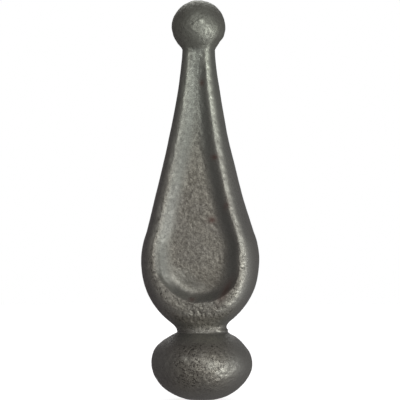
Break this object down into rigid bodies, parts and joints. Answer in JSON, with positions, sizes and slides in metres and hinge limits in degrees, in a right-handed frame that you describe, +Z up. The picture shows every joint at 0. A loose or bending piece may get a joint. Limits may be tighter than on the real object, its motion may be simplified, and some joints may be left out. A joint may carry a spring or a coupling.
{
  "type": "forged fence spike",
  "caption": "Forged steel spike for a fence picket: ball tip, flat teardrop bulb with a sunk panel on both faces, narrow waist and round knob welded on from below.",
  "frame": {"origin": "centre of the flat weld seat under the knob", "axes": "+Z up along the spike to the ball, the pictured front face looks along -Y, +X to its right"},
  "size_m": [0.0354, 0.0302, 0.12],
  "materials": {
    "forged_steel": "raw forged steel: dull dark grey scale with a fine grain, bare bright metal on the rubbed rim, small brown rust spots"
  },
  "bodies": {
    "root": {"forged_spike": "forged_steel"}
  },
  "joints": []
}
